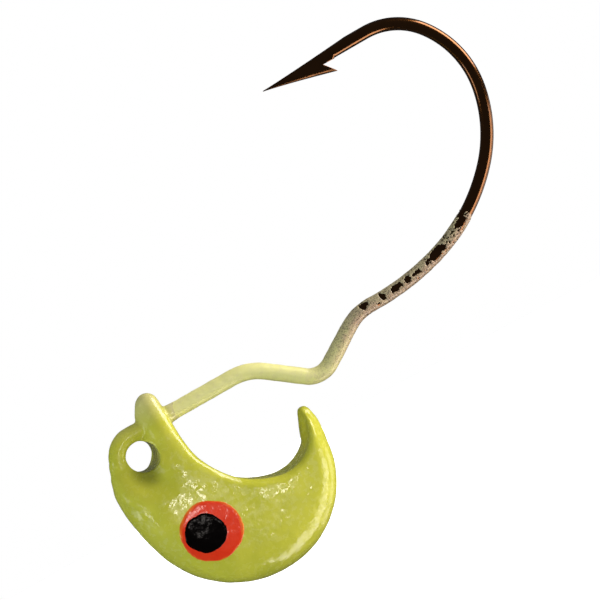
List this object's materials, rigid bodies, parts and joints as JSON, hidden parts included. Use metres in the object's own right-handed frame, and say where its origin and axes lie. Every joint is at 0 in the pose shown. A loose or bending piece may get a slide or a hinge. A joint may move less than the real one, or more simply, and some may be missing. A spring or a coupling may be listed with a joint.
{
  "type": "jig head",
  "caption": "Fishing jig head: a painted crescent of cast lead on a wide-gap wire hook, with a line eye, an offset shank and painted eyes.",
  "frame": {"origin": "middle of the line eye's hole, on the plane that the hook lies in", "axes": "+X along the straight shank towards the bend, +Z to the side that the point is on, Y across the thickness"},
  "size_m": [0.0396, 0.0052, 0.0325],
  "materials": {
    "bronzed_wire": "gloss",
    "lead": "matte",
    "powder_paint": "gloss",
    "thin_paint": "satin",
    "iris_enamel": "gloss",
    "pupil_enamel": "gloss"
  },
  "bodies": {
    "root": {"hook": "bronzed_wire", "lead_head": "lead", "head_paint": "powder_paint", "eye_paint": "powder_paint", "shank_paint": "powder_paint", "ragged_paint": "thin_paint", "iris_left": "iris_enamel", "iris_right": "iris_enamel", "pupil_left": "pupil_enamel", "pupil_right": "pupil_enamel"}
  },
  "joints": []
}
